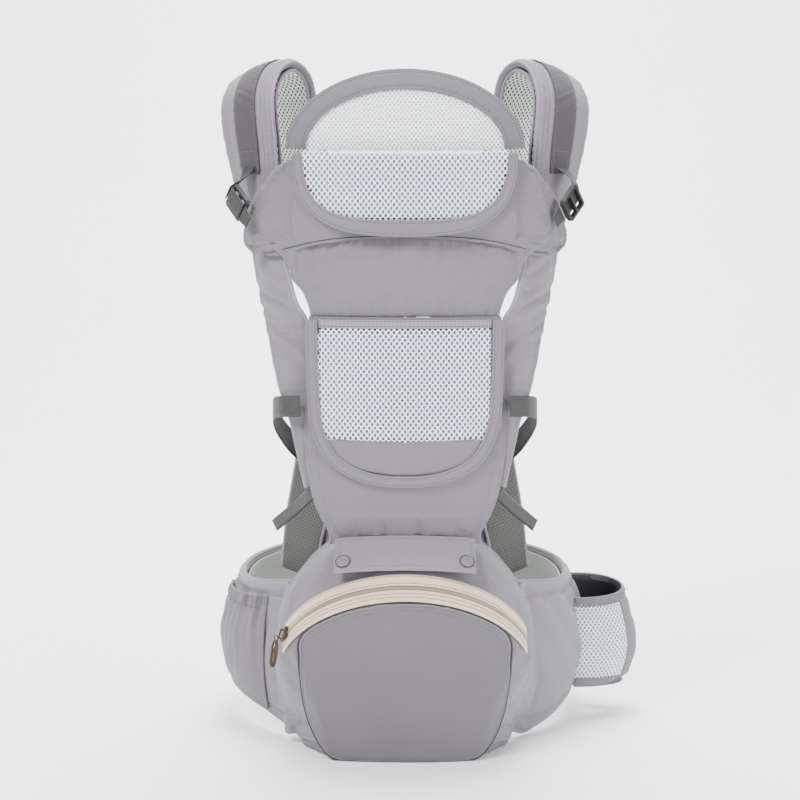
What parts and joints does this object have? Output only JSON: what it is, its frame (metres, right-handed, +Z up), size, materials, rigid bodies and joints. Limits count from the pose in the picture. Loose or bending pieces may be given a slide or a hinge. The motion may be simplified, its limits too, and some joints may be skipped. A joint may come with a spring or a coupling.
{
  "type": "soft baby carrier",
  "caption": "Hip-seat baby carrier: foam seat with zipped storage, soft body panel, head support with hood, padded shoulder straps and waist belt.",
  "frame": {"origin": "centre of the hip seat's flat base", "axes": "+Z up the body panel, -Y the outer face of the carrier, +Y towards the wearer, +X to the right seen from the front"},
  "size_m": [0.4305, 0.3981, 0.6766],
  "materials": {
    "fabric": "matt woven fabric",
    "fabric_dark": "matt woven fabric, one shade darker",
    "fabric_strap": "matt woven fabric over padding",
    "mesh_white": "white spacer mesh",
    "mesh_lining": "pale air mesh lining",
    "webbing": "ribbed polyester webbing",
    "zip_tape": "cream woven zip tape",
    "zip_coil": "nylon coil",
    "brass": "antique brass",
    "buckle": "moulded acetal",
    "snap": "satin moulded plastic",
    "foam": "expanded bead foam"
  },
  "bodies": {
    "carrier": {"seat_cover": "fabric", "seat_core": "foam", "seat_front_panel": "fabric_dark", "seat_back_pad": "mesh_lining", "zip_tape_lower": "zip_tape", "zip_tape_upper": "zip_tape", "zip_coil": "zip_coil", "panel_seat_zip": "zip_coil", "snap_stud_left": "snap", "snap_stud_right": "snap", "lower_panel": "fabric", "chest_panel": "fabric", "window_mesh": "mesh_white", "pocket_lower": "fabric", "pocket_hem": "fabric", "pocket_binding": "fabric", "shoulder_strap_left": "fabric_strap", "strap_lining_left": "mesh_lining", "strap_webbing_left": "webbing", "side_webbing_left": "webbing", "side_tail_left": "webbing", "shoulder_strap_right": "fabric_strap", "strap_lining_right": "mesh_lining", "strap_webbing_right": "webbing", "side_webbing_right": "webbing", "side_tail_right": "webbing", "back_clip_female": "buckle", "back_clip_webbing_left": "webbing"},
    "headrest": {"head_support": "fabric", "head_window_mesh": "mesh_white", "head_window_binding": "fabric", "headrest_webbing_left": "webbing", "headrest_webbing_right": "webbing"},
    "hood": {"hood_mesh": "mesh_white", "hood_band": "fabric_dark"},
    "snap_flap": {"snap_flap": "fabric", "snap_cap_left": "snap", "snap_cap_right": "snap"},
    "zip_slider": {"zip_slider": "brass"},
    "zip_pull": {"zip_pull": "brass"},
    "belt_left_wing": {"belt_left": "fabric", "belt_lining_left": "mesh_lining", "side_pocket": "fabric", "waist_webbing_left": "webbing", "waist_buckle_female": "buckle"},
    "belt_right_wing": {"belt_right": "fabric", "belt_lining_right": "mesh_lining", "bottle_pocket_mesh": "mesh_white", "bottle_pocket_binding": "fabric", "bottle_pocket_base": "fabric"},
    "waist_buckle": {"waist_buckle_male": "buckle", "waist_webbing_right": "webbing", "waist_tri_glide": "buckle"},
    "headrest_lock_left": {"headrest_lock_left": "buckle"},
    "headrest_lock_right": {"headrest_lock_right": "buckle"},
    "side_lock_left": {"side_lock_left": "buckle"},
    "side_lock_right": {"side_lock_right": "buckle"},
    "back_clip": {"back_clip_male": "buckle", "back_clip_webbing_right": "webbing"}
  },
  "joints": [
    {"name": "headrest_fold", "type": "hinge", "parent": "carrier", "child": "headrest", "pos_m": [0, -0.072, 0.492], "axis": [1, 0, 0], "range_deg": [0, 30]},
    {"name": "hood_fold", "type": "hinge", "parent": "headrest", "child": "hood", "pos_m": [0, -0.0808, 0.5895], "axis": [1, 0, 0], "range_deg": [-5, 95]},
    {"name": "flap_lift", "type": "hinge", "parent": "carrier", "child": "snap_flap", "pos_m": [0, -0.0526, 0.2245], "axis": [-1, 0, 0], "range_deg": [0, 80]},
    {"name": "zip_travel", "type": "hinge", "parent": "carrier", "child": "zip_slider", "pos_m": [0, -0.0151, 0.0877], "axis": [0, 0.7694, 0.6388], "range_deg": [0, 130]},
    {"name": "pull_swing", "type": "hinge", "parent": "zip_slider", "child": "zip_pull", "pos_m": [-0.1188, -0.0489, 0.1287], "axis": [-0.2721, 0.9623, 0.004], "range_deg": [0, 140]},
    {"name": "belt_left_open", "type": "hinge", "parent": "carrier", "child": "belt_left_wing", "pos_m": [-0.121, 0.048, 0.09], "axis": [0, 0, 1], "range_deg": [0, 45]},
    {"name": "belt_right_open", "type": "hinge", "parent": "carrier", "child": "belt_right_wing", "pos_m": [0.121, 0.048, 0.09], "axis": [0, 0, -1], "range_deg": [0, 45]},
    {"name": "waist_unclip", "type": "slide", "parent": "belt_right_wing", "child": "waist_buckle", "axis": [1, 0, 0], "range_m": [0, 0.03]},
    {"name": "headrest_lock_left_tilt", "type": "hinge", "parent": "headrest", "child": "headrest_lock_left", "pos_m": [-0.156, -0.05, 0.541], "axis": [-0.3864, 0.4869, -0.7833], "range_deg": [-5, 35]},
    {"name": "headrest_lock_right_tilt", "type": "hinge", "parent": "headrest", "child": "headrest_lock_right", "pos_m": [0.156, -0.05, 0.541], "axis": [-0.3864, -0.4869, 0.7833], "range_deg": [-5, 35]},
    {"name": "side_lock_left_tilt", "type": "hinge", "parent": "carrier", "child": "side_lock_left", "pos_m": [-0.082, 0.042, 0.295], "axis": [-0.8776, -0.4794, 0], "range_deg": [-15, 20]},
    {"name": "side_lock_right_tilt", "type": "hinge", "parent": "carrier", "child": "side_lock_right", "pos_m": [0.082, 0.042, 0.295], "axis": [-0.8776, 0.4794, 0], "range_deg": [-15, 20]},
    {"name": "back_unclip", "type": "slide", "parent": "carrier", "child": "back_clip", "axis": [1, 0, 0], "range_m": [0, 0.014]}
  ]
}
